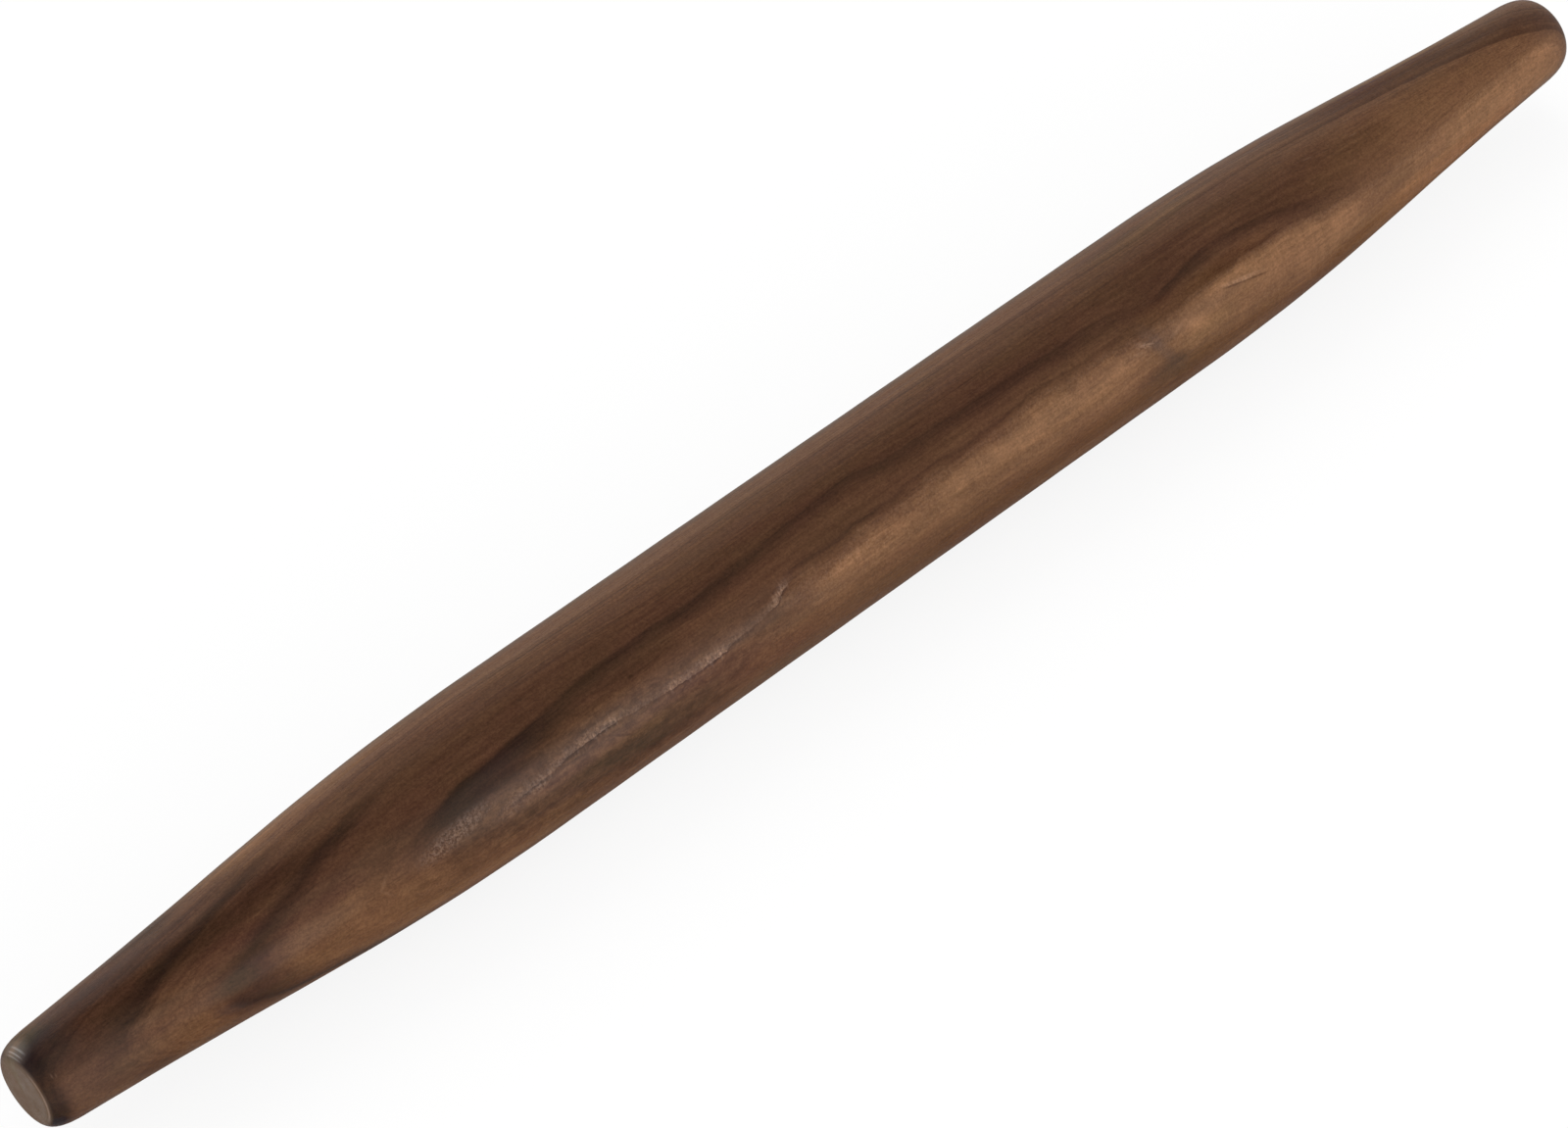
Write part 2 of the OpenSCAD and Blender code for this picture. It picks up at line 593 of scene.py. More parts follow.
# How brown each layer is above the crest, below it, and all round the right taper. The palest
# layers, at the crest, are partly the wood's own pale layer and partly a painted sheen.
UPPER_BROWN = [(-4.0, 0.026), (-3.6, 0.021), (-3.3, 0.031), (-2.8, 0.024), (-2.5, 0.016)]
UPPER_BROWN += [(-2.3, 0.028), (-1.8, 0.035), (-1.4, 0.026), (-1.1, 0.019), (-0.95, 0.030)]
UPPER_BROWN += [(-0.5, 0.034), (0.0, 0.031), (0.5, 0.036), (1.0, 0.029), (1.5, 0.026)]
UPPER_BROWN += [(2.0, 0.023), (2.5, 0.0205), (3.0, 0.020), (3.5, 0.023), (3.8, 0.026)]
UPPER_BROWN += [(3.97, 0.024), (4.06, 0.027), (4.13, 0.033), (4.19, 0.045), (4.24, 0.054)]
UPPER_BROWN += [(4.33, 0.059), (5.0, 0.061)]
LOWER_BROWN = [(-4.0, 0.026), (-3.0, 0.032), (-2.0, 0.024), (-1.0, 0.030), (0.0, 0.026)]
LOWER_BROWN += [(1.0, 0.027), (2.0, 0.028), (3.0, 0.029), (3.5, 0.031), (3.8, 0.034)]
LOWER_BROWN += [(4.0, 0.039), (4.2, 0.048), (4.5, 0.058), (5.0, 0.061)]
RIGHT_BROWN = [(-4.0, 0.030), (-2.0, 0.027), (-1.0, 0.035), (-0.5, 0.032), (0.0, 0.026)]
RIGHT_BROWN += [(0.5, 0.021), (0.93, 0.022), (1.05, 0.031), (1.5, 0.034), (2.0, 0.037)]
RIGHT_BROWN += [(3.0, 0.039), (4.0, 0.042), (4.2, 0.054), (4.5, 0.061), (5.0, 0.063)]
MOST_BROWN = 0.1
# The turns, and the places along the pin, over which one of these gives way to the next
BELOW_CREST = (CREST - 4, CREST + 14)
ON_RIGHT = (135.0, 190.0)
upper_brown, lower_brown, right_brown = [
    follow(tree, layer, browns, 0.0, MOST_BROWN)
    for browns in (UPPER_BROWN, LOWER_BROWN, RIGHT_BROWN)
]
brown = blend(tree, ease(tree, turn, *BELOW_CREST), upper_brown, lower_brown)
brown = blend(tree, ease(tree, along, *ON_RIGHT), brown, right_brown)

# How much grey is in the colour at each turn: a painted shade that takes grey out, most near the
# top and lower edges, to dim their sheen
PAINTED_SHADE_BY_TURN = [(-50, -0.012), (-42, -0.014), (-35, -0.014), (-29, -0.005), (-22, -0.002), (-15, -0.004)]
PAINTED_SHADE_BY_TURN += [(-5, -0.001), (5, -0.005), (62, -0.005), (81, -0.009), (100, -0.013), (120, -0.013)]
LEAST_GREY = -0.02
grey = follow(tree, turn, PAINTED_SHADE_BY_TURN, LEAST_GREY, 0.0)

# Streaks and thin lines: the growth line and how far above it, start and end, fade, reach
# below and above, strength (pale below zero), last turn (a minus sign makes it the first)
STREAKS = [
    (back_line, 0.7, -100, 200, 40, 0.30, 0.30, 0.22, 200),
    (back_line, 1.5, -60, 170, 40, 0.25, 0.25, -0.12, 200),
    (back_line, 2.4, -160, 120, 40, 0.25, 0.25, 0.12, 200),
    (top_line, 0.0, -236, -180, 14, 3.00, 1.40, 0.50, 62),
    (top_line, 0.0, -160, 240, 40, 0.50, 0.15, 0.32, 200),
    (top_line, 0.0, -232, -215, 5, 0.30, 0.50, 0.15, -66),
    (top_line, -0.5, -130, 60, 25, 0.30, 0.25, -0.16, 200),
    (top_line, -1.2, -150, 150, 40, 0.20, 0.20, 0.20, 200),
    (second_line, 0.0, -205, -150, 12, 1.60, 2.80, 0.50, 200),
    (second_line, 0.0, -140, 150, 40, 0.35, 0.25, 0.18, 200),
    (second_line, 0.0, -212, -160, 6, 0.50, 0.90, 0.42, -74),
    (second_line, -0.35, -115, -25, 8, 0.12, 0.12, -0.18, 200),
    (second_line, 0.45, -60, 70, 15, 0.15, 0.15, -0.10, 200),
    (second_line, 0.9, -100, 110, 30, 0.15, 0.15, 0.12, 200),
    (dark_line, 0.0, -146, -105, 10, 0.60, 2.80, 0.62, 52),
    (dark_line, 0.0, -105, -40, 14, 0.90, 2.00, 0.44, 52),
    (dark_line, 0.0, -40, 80, 14, 0.90, 2.00, 0.34, 52),
    (dark_line, 0.0, 93, 112, 4, 0.30, 1.60, 0.40, 52),
    (dark_line, 0.0, 112, 150, 10, 0.50, 1.60, 0.24, 52),
    (pale_line, -0.2, -28, 62, 8, 0.20, 0.18, 0.16, 60),
    (pale_line, -0.1, -36, -4, 5, 0.16, 0.16, 0.24, 60),
]
other_turn = product(tree, turn, -1.0)
for line, risen, start, end, fade, below, above, strength, last_turn in STREAKS:
    settings = {"Height": height, "Line": reckon(tree, "ADD", line, risen), "Along": along}
    settings.update({"Start": start, "End": end, "Fade": fade, "Below": below, "Above": above})
    settings.update({"Strength": strength, "Last turn": last_turn})
    settings["Turn"] = other_turn if last_turn < 0 else turn
    settings.update({"Brown": brown, "Grey": grey})
    brown, grey = place_group(tree, streak, settings)

# Stains: centre along and round, half length and width, lean, core, brown kept, grey added
STAINS = [
    (-249, 80, 4, 62, 0.0, 0.5, 0.68, 0.000),
    (-249, 106, 5, 16, 0.0, 0.3, 0.62, 0.000),
    (-234, 0, 48, 50, 0.0, 0.3, 0.44, 0.000),
    (-244, -16, 8, 14, 0.0, 0.2, 0.62, 0.006),
    (-245, 10, 13, 36, 0.0, 0.3, 0.58, 0.009),
    (-241, 38, 10, 14, 0.0, 0.2, 0.64, 0.000),
    (-236, 66, 26, 60, 0.0, 0.2, 0.92, 0.012),
    (-225, -34, 45, 26, 0.0, 0.3, 0.85, 0.013),
    (-218, -13, 48, 14, 0.0, 0.3, 1.00, 0.010),
    (-210, -42, 18, 18, 0.0, 0.3, 0.66, 0.000),
    (-206, -34, 10, 12, 0.0, 0.3, 0.80, 0.000),
    (-200, -6, 28, 8, 0.0, 0.3, 0.84, 0.000),
    (-180, -36, 15, 8, 0.0, 0.3, 1.14, 0.000),
    (-244, 56, 5, 18, 0.0, 0.3, 0.86, 0.000),
    (-222, 36, 8, 8, 0.0, 0.2, 0.76, 0.000),
    (-215, 46, 18, 10, 0.0, 0.3, 1.00, 0.005),
    (-214, 76, 16, 46, 0.0, 0.2, 1.28, -0.003),
    (-222, 98, 9, 16, 0.0, 0.2, 0.80, 0.000),
    (-203, 84, 7, 10, 1.6, 0.2, 0.84, 0.008),
    (-194, -16, 24, 10, 0.0, 0.3, 0.66, 0.000),
    (-198, 27, 12, 8, 0.0, 0.2, 0.78, 0.000),
    (-190, 10, 36, 18, -0.3, 0.2, 0.54, 0.000),
    (-192, 60, 34, 15, 0.0, 0.3, 1.00, 0.015),
    (-190, 79, 11, 16, 0.4, 0.2, 0.78, 0.004),
    (-172, 58, 28, 12, 0.0, 0.3, 1.28, 0.000),
    (-168, 14, 18, 10, 0.0, 0.3, 0.84, 0.000),
    (-165, 42, 60, 16, 0.0, 0.3, 1.00, 0.005),
    (-162, -40, 42, 18, 0.0, 0.2, 1.45, 0.000),
    (-168, 76, 36, 50, 0.0, 0.3, 1.36, -0.002),
    (-134, 104, 36, 12, 0.0, 0.3, 1.48, -0.005),
    (-135, 70, 14, 12, 0.0, 0.2, 0.82, 0.000),
    (-128, 41, 22, 12, -0.3, 0.3, 0.82, 0.006),
    (-124, 45, 14, 7, 0.0, 0.3, 0.74, 0.000),
    (-130, 53, 24, 8, -0.2, 0.2, 1.00, 0.007),
    (-110, 66, 46, 10, 0.0, 0.3, 0.96, 0.007),
    (-82, 92, 30, 10, 0.0, 0.3, 0.74, 0.000),
    (-78, 36, 18, 6, 0.0, 0.3, 0.86, 0.000),
    (-66, 72, 26, 12, 0.1, 0.3, 0.78, 0.005),
    (-104, 79, 44, 14, 0.15, 0.2, 0.62, 0.007),
    (-100, 57, 72, 17, 0.0, 0.3, 0.94, 0.020),
    (-92, 80, 24, 8, 0.9, 0.1, 0.82, 0.000),
    (-90, -22, 70, 22, 0.0, 0.3, 1.10, 0.000),
    (-90, 36, 36, 8, 0.0, 0.3, 0.80, 0.000),
    (-74, 82, 32, 16, 0.2, 0.2, 0.68, 0.003),
    (-66, 56, 18, 6, 0.0, 0.3, 1.22, 0.000),
    (-55, 45, 34, 10, 0.0, 0.3, 1.00, 0.004),
    (-48, 57, 28, 9, 0.0, 0.3, 1.00, 0.009),
    (-36, 67, 22, 12, 0.0, 0.3, 0.96, 0.006),
    (-8, 59, 16, 9, 0.0, 0.2, 1.30, 0.000),
    (-20, 35, 24, 8, 0.0, 0.3, 0.88, 0.000),
    (-10, 68, 16, 7, 0.0, 0.2, 1.14, 0.000),
    (20, -52, 240, 14, 0.0, 0.2, 0.75, 0.000),
    (28, 68, 15, 9, 0.0, 0.2, 0.82, 0.000),
    (50, 57, 60, 10, 0.0, 0.3, 1.00, 0.005),
    (66, 106, 36, 10, 0.0, 0.3, 1.26, 0.000),
    (70, 82, 20, 16, 0.0, 0.3, 1.12, 0.000),
    (74, 20, 16, 9, 0.0, 0.3, 1.14, 0.000),
    (90, 100, 130, 22, 0.0, 0.5, 1.00, -0.006),
    (86, 79, 11, 11, 0.0, 0.2, 0.76, 0.000),
    (88, 86, 13, 16, 0.0, 0.2, 1.00, 0.006),
    (96, -25, 22, 9, 0.0, 0.3, 0.78, 0.000),
    (100, 57, 28, 9, 0.0, 0.3, 0.94, 0.006),
    (104, 53, 12, 6, 0.0, 0.2, 0.86, 0.000),
    (97, 40, 22, 11, 0.0, 0.2, 1.05, -0.003),
    (98, 64, 9, 9, 0.0, 0.2, 1.20, 0.000),
    (114, 62, 13, 16, 0.0, 0.3, 0.88, 0.000),
    (116, 106, 26, 10, 0.0, 0.3, 1.24, 0.000),
    (118, 40, 20, 10, 0.0, 0.3, 1.00, -0.005),
    (118, 15, 18, 9, 0.0, 0.3, 1.16, 0.000),
    (128, 36, 12, 7, 0.0, 0.2, 1.15, 0.000),
    (128, 79, 16, 14, 0.0, 0.3, 0.84, 0.000),
    (150, -25, 62, 10, 0.0, 0.2, 0.85, 0.000),
    (156, 13, 14, 10, 0.0, 0.3, 0.88, 0.000),
    (160, 92, 24, 6, 0.0, 0.2, 0.78, 0.000),
    (162, 84, 20, 9, 0.0, 0.3, 0.80, 0.000),
    (155, 64, 11, 8, 0.0, 0.3, 1.12, 0.000),
    (172, 22, 16, 16, 0.0, 0.3, 0.84, 0.000),
    (172, 68, 17, 18, 0.0, 0.3, 0.76, 0.000),
    (190, 70, 14, 12, 0.0, 0.3, 0.90, 0.000),
    (195, -27, 45, 14, 0.0, 0.3, 1.00, -0.024),
    (190, 30, 75, 32, 0.0, 0.3, 1.00, -0.004),
    (190, 96, 60, 24, 0.0, 0.4, 1.08, -0.011),
    (190, 106, 35, 10, 0.0, 0.3, 1.16, 0.000),
    (200, -10, 45, 10, 0.0, 0.3, 1.06, -0.007),
    (200, 111, 44, 12, 0.0, 0.3, 0.92, -0.020),
    (203, -37, 24, 8, 0.0, 0.3, 1.26, 0.000),
    (226, -27, 15, 9, 0.0, 0.3, 1.18, 0.000),
    (228, 56, 16, 7, 0.0, 0.3, 0.90, 0.000),
    (237, 54, 11, 14, 0.0, 0.3, 1.24, 0.000),
    (246, 20, 12, 80, 0.0, 0.2, 0.95, 0.008),
]
# Small marks, in the same order: thin cracks, pale chips beside them, spots and the fold
STAINS += [
    (-159.6, 58.0, 2.2, 2.6, -2.7, 0.1, 1.20, 0.006),
    (-159.7, 66.5, 2.0, 2.6, 3.2, 0.1, 1.20, 0.006),
    (-91.0, 66.5, 5.0, 1.8, 1.6, 0.2, 0.76, 0.000),
    (-82.0, 37.5, 1.2, 1.8, 0.5, 0.2, 0.62, 0.000),
    (-46.0, -18.0, 0.6, 0.9, 0.0, 0.3, 0.55, 0.000),
    (-246.4, 36.5, 0.3, 5.0, 0.0, 0.2, 1.60, 0.012),
    (-245.6, 38.5, 0.3, 4.0, 0.0, 0.2, 1.40, 0.008),
    (86.0, 53.0, 5.0, 14.0, 2.4, 0.1, 0.84, 0.009),
    (88.5, 67.0, 4.5, 11.0, 2.4, 0.1, 0.80, 0.010),
    (92.0, 76.0, 7.0, 8.0, 1.2, 0.1, 0.80, 0.002),
    (92.0, 84.0, 7.0, 14.0, 1.6, 0.1, 0.86, 0.004),
    (82.5, 53.0, 4.0, 2.4, 1.0, 0.1, 1.24, 0.012),
    (82.0, 50.5, 3.0, 1.6, 1.0, 0.1, 1.18, 0.010),
    (80.5, 57.0, 3.0, 1.6, 0.6, 0.1, 1.16, 0.008),
    (93.5, 59.0, 4.5, 2.4, -0.8, 0.1, 1.18, 0.008),
    (117.5, 55.0, 11.0, 2.4, 0.60, 0.2, 1.20, 0.009),
    (115.0, 55.8, 5.0, 1.2, 0.60, 0.2, 0.62, 0.000),
    (122.5, 60.4, 6.0, 1.2, 0.60, 0.2, 0.58, 0.000),
    (155.0, 10.5, 2.4, 1.0, 0.3, 0.2, 1.25, 0.012),
    (171.0, 14.0, 2.4, 0.9, 0.2, 0.2, 1.20, 0.010),
]


def oval(centre_along, centre_turn, length, width, tilt, core):
    """The inputs that shape one soft stain on the pin."""
    places = {"Along": along, "Turn": turn, "Centre along": centre_along, "Lean": tilt}
    places.update({"Centre turn": centre_turn, "Half length": length, "Half width": width})
    places["Core"] = core
    return places


def patch(*shape):
    """The mask of one soft stain on the pin, from its row up to the core."""
    return place_group(tree, stain, oval(*shape))["Mask"]


for *shape, kept, added in STAINS:
    places = oval(*shape)
    places.update({"Brown": brown, "Grey": grey, "Kept": kept, "Added": added})
    brown, grey = place_group(tree, soaked, places)

# A fine seam near the crest, with torn pale flecks along its upper edge
SEAM = [(-125, 62), (-110, 59), (-105, 57), (-95, 56), (-85, 58), (-75, 60), (-62, 61)]
SEAM += [(-57, 60.5), (-55, 58.5), (-50, 57.5), (-44, 56), (-40, 54), (-37, 49), (-32, 45)]
SEAM_STRENGTH = [(-125, 0.0), (-116, 0.6), (-110, 0.5), (-104, 0.8), (-94, 0.9), (-86, 0.35)]
SEAM_STRENGTH += [(-77, 0.4), (-72, 0.9), (-67, 0.5), (-60, 1.0), (-55, 0.35), (-44, 0.25)]
SEAM_STRENGTH += [(-39, 0.9), (-35, 0.3), (-32, 0.0)]
SEAM_TURNS = (40.0, 70.0)
SEAM_GRAIN = ((0.8, 0.3, 0.3), 2.0, 0.6)
SEAM_WANDER = 0.25
MM_A_DEGREE = BARREL_RADIUS / MM * math.radians(1)
# Strips along the seam: how far past it, in mm, each one fades in and then out again
HALO_STRIP = ((-2.8, -0.1), (0.15, 0.0))
CRACK_STRIP = ((0.0, 0.15), (1.0, 0.2))
TICK_STRIP = ((-4.0, 0.0), (1.8, 0.2))
TICK_GRAIN = ((1.1, 0.22, 0.22), 2.0, 0.5)
TICK_RANGE = (0.54, 0.66)
TICK_STRENGTH = 1.2
seam_turn = follow(tree, along, SEAM, *SEAM_TURNS)
off_seam = product(tree, reckon(tree, "SUBTRACT", turn, seam_turn), MM_A_DEGREE)
off_seam = reckon(tree, "ADD", off_seam, wander(grain(*SEAM_GRAIN), SEAM_WANDER))
torn = follow(tree, along, SEAM_STRENGTH)


def strip(fade_in, fade_out):
    """The mask of a strip along the seam that fades in and out over these distances."""
    return product(tree, ease(tree, off_seam, *fade_in), ease(tree, off_seam, *fade_out))


halo = product(tree, strip(*HALO_STRIP), torn)
crack = product(tree, strip(*CRACK_STRIP), torn)
ticks = ease(tree, grain(*TICK_GRAIN), *TICK_RANGE)
ticks = product(tree, ticks, strip(*TICK_STRIP), torn)
raised = plus(halo, ticks, TICK_STRENGTH)

# Flecks: short torn ripples across the grain, partly pale in their own colour and partly a
# painted satin glint, along the seam, along the pale layer's edge and in patches, whose rows are
# as in the stains up to the core, and end in a strength
FLECKED = [
    (-139, 57, 15, 10, -0.4, 0.2, 1.10),
    (-122, 62, 10, 12, -0.4, 0.1, 0.45),
    (-115, 63, 5, 4, -0.6, 0.1, 1.00),
    (-64, 58, 9, 5, 0.0, 0.2, 0.60),
    (-38, 50, 4, 5, -1.0, 0.1, 0.40),
    (-18, 56, 18, 9, -0.2, 0.3, 0.30),
    (84, 55, 4, 3, 0.6, 0.2, 0.90),
    (117, 55, 9, 3, 0.5, 0.2, 0.60),
]
FLECK_GRAIN = ((1.5, 1.3, 1.3), 3.0, 0.7, 0.6)
FLECK_RANGE = (0.42, 0.64)
GAP_RANGE = (0.48, 0.34)
# The pale layer's edge: the layers over which it begins, the turns over which it fades in,
# and two layers with its strength at each
EDGE_LAYERS = (4.02, 4.10)
EDGE_TURNS = (84, 60)
EDGE_STRENGTH = (4.26, 4.14, 0.08, 0.20)
flecked = halo
for *shape, strength in FLECKED:
    flecked = reckon(tree, "MAXIMUM", flecked, product(tree, patch(*shape), strength))
pale_edge = product(tree, ease(tree, layer, *EDGE_LAYERS), ease(tree, turn, *EDGE_TURNS))
pale_edge = product(tree, pale_edge, ease(tree, layer, *EDGE_STRENGTH))
flecked = reckon(tree, "MAXIMUM", flecked, pale_edge)
ripples = grain(*FLECK_GRAIN)
fleck_and_glint = product(tree, ease(tree, ripples, *FLECK_RANGE), flecked)
fleck_gap = product(tree, ease(tree, ripples, *GAP_RANGE), flecked)
# How much each mark pales or darkens the brown, as a share of it, and the grey that it adds
# The flecks' paling and grey are partly their own colour and partly a painted glint
for mark, share in [(raised, 0.36), (fleck_and_glint, 0.55), (fleck_gap, -0.35), (crack, -0.40)]:
    brown = times(brown, mark, share)
for mark, amount in [(raised, 0.017), (fleck_and_glint, 0.038)]:
    grey = plus(grey, mark, amount)

# Soft clouds, thin rings near the top, a satin figure across the pale layer, fine fibres
# that follow the layers, thin threads along the grain, an even speckle, and open pores.
# A share is how much of the brown each one changes, and the clouds' rises where clouded.
CLOUD_GRAIN = ((0.28, 0.5, 0.5), 3.0, 0.65, 0.5)
CLOUD_SHARE = 0.04
CLOUDED = (-95, 72, 66, 40, 0.0, 0.5)
CLOUDED_SHARE = 0.20
RING_BANDS = (6.0, 0.6)
RING_RANGE = (0.38, 0.62)
FIGURE_GRAIN = ((0.6, 0.09, 0.09), 3.0, 0.6, 0.3)
FIGURE_SHARE = 0.07
FIBRE_WAVES = (0.03, 0.8, 9.0)
THREAD_GRAIN = ((0.06, 1.2, 1.2), 4.0, 0.6)
SPECKLE_GRAIN = ((1.4, 1.6, 1.6), 4.0, 0.75, 0.5)
PORE_GRAIN = ((0.2, 3.2, 3.2), 1.0, 0.5)
PORE_RANGE = (0.58, 0.70)
PORE_SHARE = -0.16
# Two layers, with the strength that the rings or the figure have at each
RINGED = (2.0, 0.0, 0.05, 0.16)
FIGURED = (4.05, 4.2, 0.3, 1.0)
clouds = spread(grain(*CLOUD_GRAIN), -1.0, 1.0)
brown = times(brown, clouds, plus(CLOUD_SHARE, patch(*CLOUDED), CLOUDED_SHARE))
rings = ease(tree, bands(layer, *RING_BANDS), *RING_RANGE, -1.0, 1.0)
brown = times(brown, rings, ease(tree, layer, *RINGED))
figure = spread(grain(*FIGURE_GRAIN), -FIGURE_SHARE, FIGURE_SHARE)
brown = times(brown, figure, ease(tree, layer, *FIGURED))
fibre_place = [product(tree, *waves) for waves in zip((along, across, layer), FIBRE_WAVES)]
fibre_place = put(tree, "ShaderNodeCombineXYZ", dict(enumerate(fibre_place))).outputs[0]
fibres = {"Vector": fibre_place, "Scale": 1.0, "Detail": 5.0, "Roughness": 0.62}
fibres = put(tree, "ShaderNodeTexNoise", fibres).outputs["Fac"]
threads = grain(*THREAD_GRAIN)
speckle = grain(*SPECKLE_GRAIN)
for noise, share in [(fibres, 0.10), (threads, 0.06), (speckle, 0.20)]:
    brown = product(tree, brown, spread(noise, 1 - share, 1 + share))
pores = ease(tree, grain(*PORE_GRAIN), *PORE_RANGE)
brown = times(brown, pores, PORE_SHARE)

# The ends: dark with oil round the left one, whose rounding has a painted highlight, pale and
# grey, in one place
OILED = (-243.0, -248.0)
OILED_SHARE = -0.55
PAINTED_HIGHLIGHT = (-248.9, -26, 5, 32, 0.0, 0.1)
PAINTED_HIGHLIGHT_SHARE = 2.0
PAINTED_HIGHLIGHT_GREY = 0.07
# The end face takes over between these distances from the middle
FACE_REACH = (FACE_END / MM - 0.8, FACE_END / MM - 0.2)
radius = put(tree, "ShaderNodeCombineXYZ", {"X": across, "Y": up}).outputs[0]
radius = put(tree, "ShaderNodeVectorMath", {0: radius}, operation="LENGTH").outputs["Value"]
brown = times(brown, ease(tree, along, *OILED), OILED_SHARE)
on_face = ease(tree, reckon(tree, "ABSOLUTE", along), *FACE_REACH)
# A painted highlight, paler and greyer, on the upper back of the left rounding, kept off the face
painted_highlight = product(tree, patch(*PAINTED_HIGHLIGHT), reckon(tree, "SUBTRACT", 1.0, on_face))
brown = times(brown, painted_highlight, PAINTED_HIGHLIGHT_SHARE)
grey = plus(grey, painted_highlight, PAINTED_HIGHLIGHT_GREY)

# Pale end grain on the faces: it loses half its strength between two radii, over the rim
FACE_BROWN = 0.038
FACE_GREY = 0.031
FACE_GREEN = 0.006
LAYERS_SHOWN = 0.3
RIM_STRENGTH = (9.4, 7.8, 0.5, 1.0)
FACE_BANDS = (0.7, 0.7)
FACE_BAND_SHARE = 0.35
MOTTLE_GRAIN = ((0.26, 0.26, 0.26), 4.0, 0.65)
MOTTLE_RANGE = (0.35, 0.65)
MOTTLE_SHARE = 0.40
on_face = product(tree, on_face, ease(tree, radius, *RIM_STRENGTH))
face_brown = reckon(tree, "MULTIPLY_ADD", brown, LAYERS_SHOWN, FACE_BROWN * (1 - LAYERS_SHOWN))
brown = blend(tree, on_face, brown, face_brown)
face_bands = spread(bands(radius, *FACE_BANDS), 1 - FACE_BAND_SHARE, 1 + FACE_BAND_SHARE)
mottle = ease(tree, grain(*MOTTLE_GRAIN), *MOTTLE_RANGE, 1 - MOTTLE_SHARE, 1 + MOTTLE_SHARE)
grey = plus(grey, on_face, product(tree, face_bands, mottle, FACE_GREY))

# A thin painted highlight on the arris round the front of the left face, and three bright arcs,
# painted highlights on the lathe tool's ridges
ARRIS_HIGHLIGHT = (-249, 64, 8, 56, 0.0, 0.5)
ARRIS_RADIUS = FACE_RADIUS / MM + 1.0
ARRIS_FADE = (0.35, 0.05)
ARRIS_HIGHLIGHT_SHARE = 0.6
ARRIS_HIGHLIGHT_GREY = 0.045
HIGHLIGHT_ARCS = (-248.6, -22, 6, 20, 0.0, 0.3)
HIGHLIGHT_ARCS_RADIUS = 9.9
HIGHLIGHT_ARCS_FADE = (1.0, 0.4)
ARC_PITCH = 0.58
ARC_RANGE = (0.1, 0.9)
ARC_HIGHLIGHT_GREY = 0.13


def ring(middle, fade):
    """The mask of a ring round the end that fades with the distance from its middle."""
    return ease(tree, reckon(tree, "ABSOLUTE", reckon(tree, "SUBTRACT", radius, middle)), *fade)


# A painted highlight on the arris at the front of the left face
arris_highlight = product(tree, ring(ARRIS_RADIUS, ARRIS_FADE), patch(*ARRIS_HIGHLIGHT))
brown = times(brown, arris_highlight, ARRIS_HIGHLIGHT_SHARE)
grey = plus(grey, arris_highlight, ARRIS_HIGHLIGHT_GREY)
# Painted highlight arcs on the upper back of the left rounding, along the lathe tool's ridges
highlight_arcs = reckon(tree, "COSINE", product(tree, radius, math.tau / ARC_PITCH))
highlight_arcs = ease(tree, highlight_arcs, *ARC_RANGE)
highlight_arcs = product(tree, highlight_arcs, ring(HIGHLIGHT_ARCS_RADIUS, HIGHLIGHT_ARCS_FADE), patch(*HIGHLIGHT_ARCS))
grey = plus(grey, highlight_arcs, ARC_HIGHLIGHT_GREY)

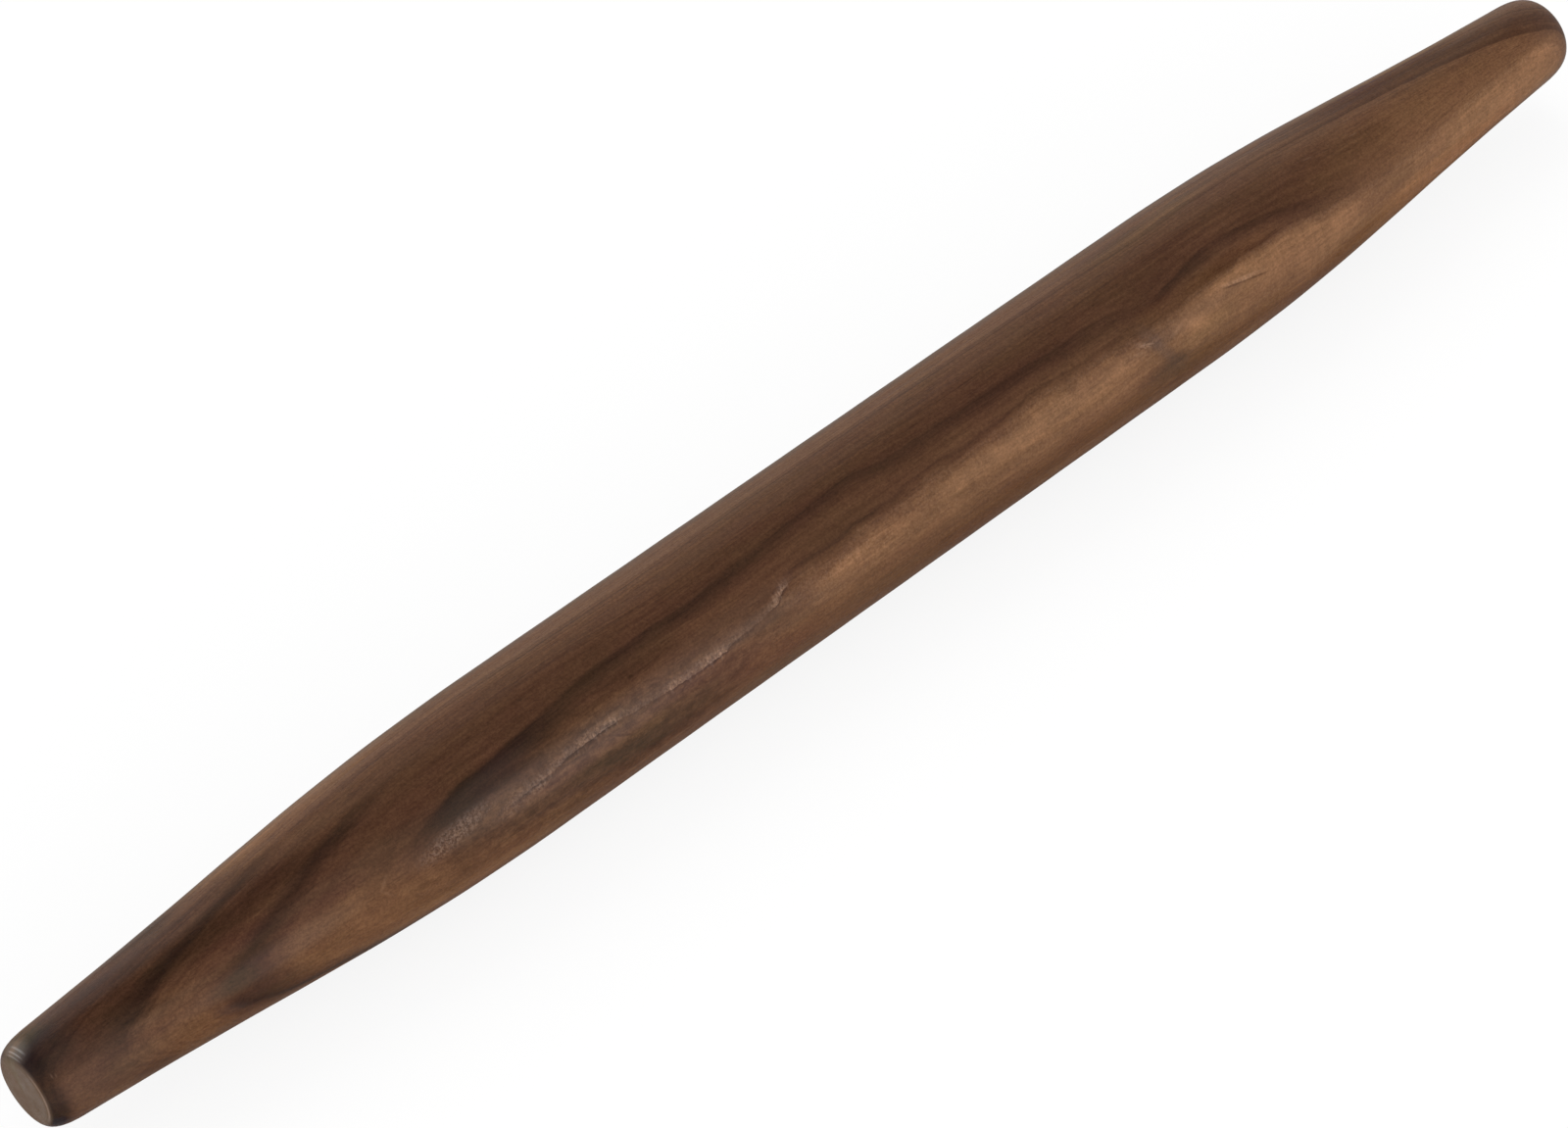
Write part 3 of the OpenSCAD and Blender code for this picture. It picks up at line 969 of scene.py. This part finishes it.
# The hue: redder in the middle browns, with olive and pink patches, whose rows are as in
# the stains up to the core, and end in the green added
WARM = (4.0, 2.05, 1.0)
GREEN_SHIFT = [(0.0, -0.0012), (0.012, -0.0024), (0.020, -0.0042), (0.030, -0.0042)]
GREEN_SHIFT += [(0.045, -0.0032), (0.080, -0.0030)]
HUES = [
    (-208, 58, 34, 16, 0.0, 0.3, -0.0020),
    (-200, 32, 24, 14, 0.0, 0.3, -0.0022),
    (-176, 46, 18, 10, 0.0, 0.3, -0.0028),
    (-84, 80, 30, 14, 0.2, 0.3, 0.0028),
    (-96, 66, 34, 7, 0.0, 0.3, -0.0022),
    (-238, 28, 14, 26, 0.0, 0.3, -0.0012),
    (-62, 66, 26, 12, 0.3, 0.3, -0.0030),
    (-46, 84, 20, 18, 0.2, 0.3, -0.0034),
    (96, 82, 18, 18, 0.0, 0.3, 0.0024),
    (205, 92, 26, 14, 0.0, 0.3, -0.0036),
    # This row greys the hue where the painted highlight lies on the left rounding
    (-247, -30, 9, 26, 0.0, 0.3, 0.0080),
    (-200, 62, 9, 14, 0.0, 0.3, 0.0048),
    (-229, 68, 9, 24, 0.0, 0.3, 0.0024),
    (105, 70, 14, 8, 0.0, 0.3, 0.0026),
    (108, -20, 32, 12, 0.0, 0.3, 0.0038),
    (200, -42, 50, 14, 0.0, 0.3, 0.0056),
    (-20, -52, 420, 14, 0.0, 0.3, 0.0050),
]
LEAST_GREEN = -0.01
HUE_GRAIN = ((0.04, 0.12, 0.12), 3.0, 0.6)
HUE_REACH = 0.0014
green = follow(tree, brown, GREEN_SHIFT, LEAST_GREEN, 0.0)
green = reckon(tree, "ADD", green, spread(grain(*HUE_GRAIN), -HUE_REACH, HUE_REACH))
for *shape, shift in HUES:
    green = plus(green, patch(*shape), shift)
green = plus(green, on_face, FACE_GREEN)
colour = put(tree, "ShaderNodeVectorMath", {0: WARM, "Scale": brown}, operation="SCALE")
for added in (put(tree, "ShaderNodeCombineXYZ", {"Y": green}).outputs[0], grey):
    both = {0: colour.outputs[0], 1: added}
    colour = put(tree, "ShaderNodeVectorMath", both, operation="ADD")

# Threads, speckle and flecks stand up a little, and pores and the seam's crack are sunk
RELIEF_DEPTH = 0.04 * MM
relief = threads
for mark, rise in [(pores, -0.7), (speckle, 0.7), (fleck_and_glint, 1.0), (crack, -1.5)]:
    relief = plus(relief, mark, rise)
bump = put(tree, "ShaderNodeBump", {"Strength": 1.0, "Distance": RELIEF_DEPTH, "Height": relief})
wood = put(
    tree,
    "ShaderNodeBsdfPrincipled",
    {
        "Base Color": colour.outputs[0],
        "Roughness": spread(fibres, 0.46, 0.56),
        "Specular IOR Level": 0.10,
        "Normal": bump.outputs[0],
    },
)
put(tree, "ShaderNodeOutputMaterial", {"Surface": wood.outputs[0]})
pin_mesh.materials.append(walnut)
